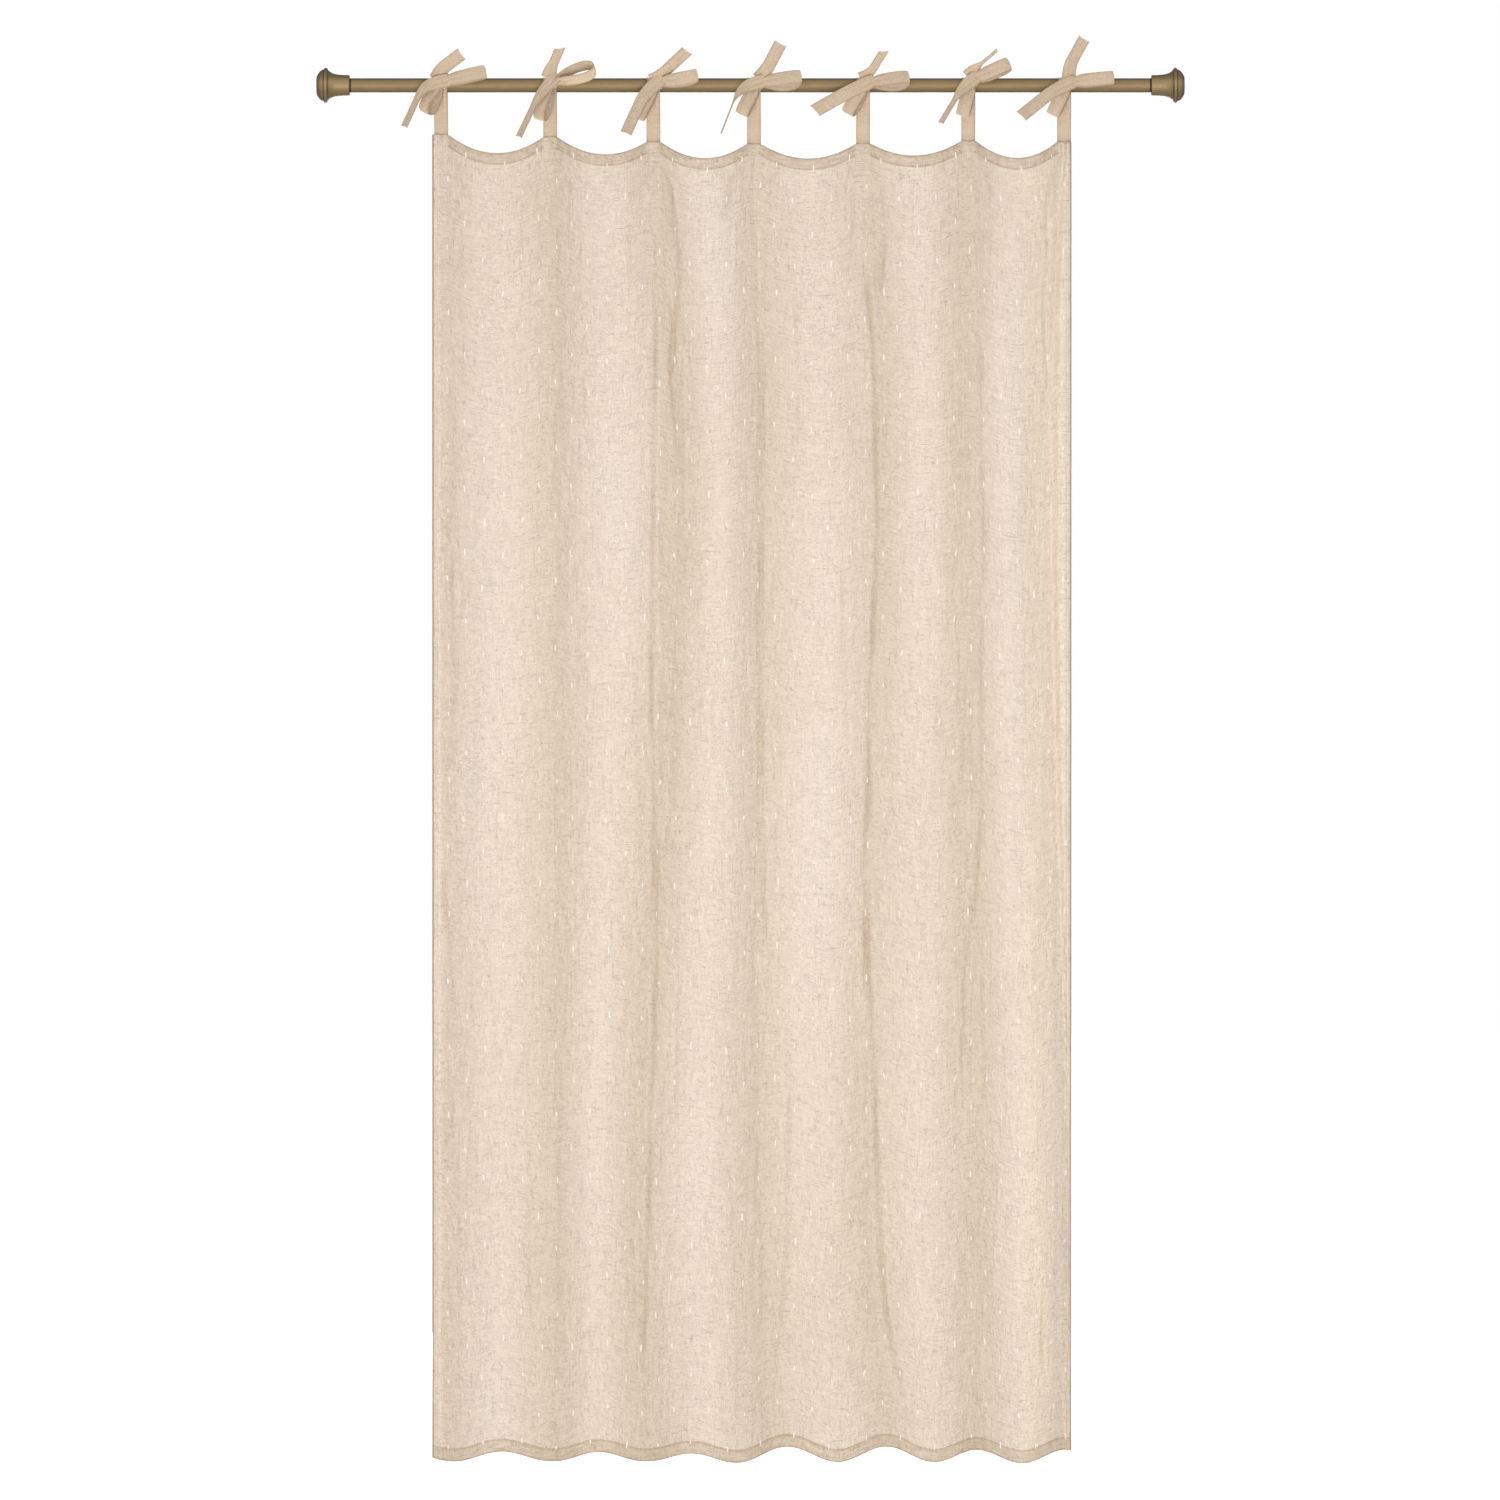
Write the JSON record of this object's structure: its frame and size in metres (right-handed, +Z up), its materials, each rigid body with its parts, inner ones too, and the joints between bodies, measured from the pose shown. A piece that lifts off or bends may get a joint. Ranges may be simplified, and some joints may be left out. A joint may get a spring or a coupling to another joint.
{
  "type": "tie top curtain",
  "caption": "Light woven curtain panel with tape ties knotted in bows round a straight metal rod that has turned end caps.",
  "frame": {"origin": "middle of the rod's axis, half way between the end caps", "axes": "+X along the rod to the right as seen from the front, +Z up, and the front of the curtain faces -Y"},
  "size_m": [1.7076, 0.1038, 2.8035],
  "materials": {
    "bronze": "satin antique bronze",
    "screw_steel": "dark, zinc flake",
    "cloth": "matt, light slub weave, a little see-through",
    "tape": "matt, same weave in two layers"
  },
  "bodies": {
    "root": {"rod_tube": "bronze", "finial_left": "bronze", "finial_right": "bronze", "finial_screw_left": "screw_steel", "finial_screw_right": "screw_steel", "curtain_panel": "cloth", "tie_1": "tape", "tie_2": "tape", "tie_3": "tape", "tie_4": "tape", "tie_5": "tape", "tie_6": "tape", "tie_7": "tape"}
  },
  "joints": []
}
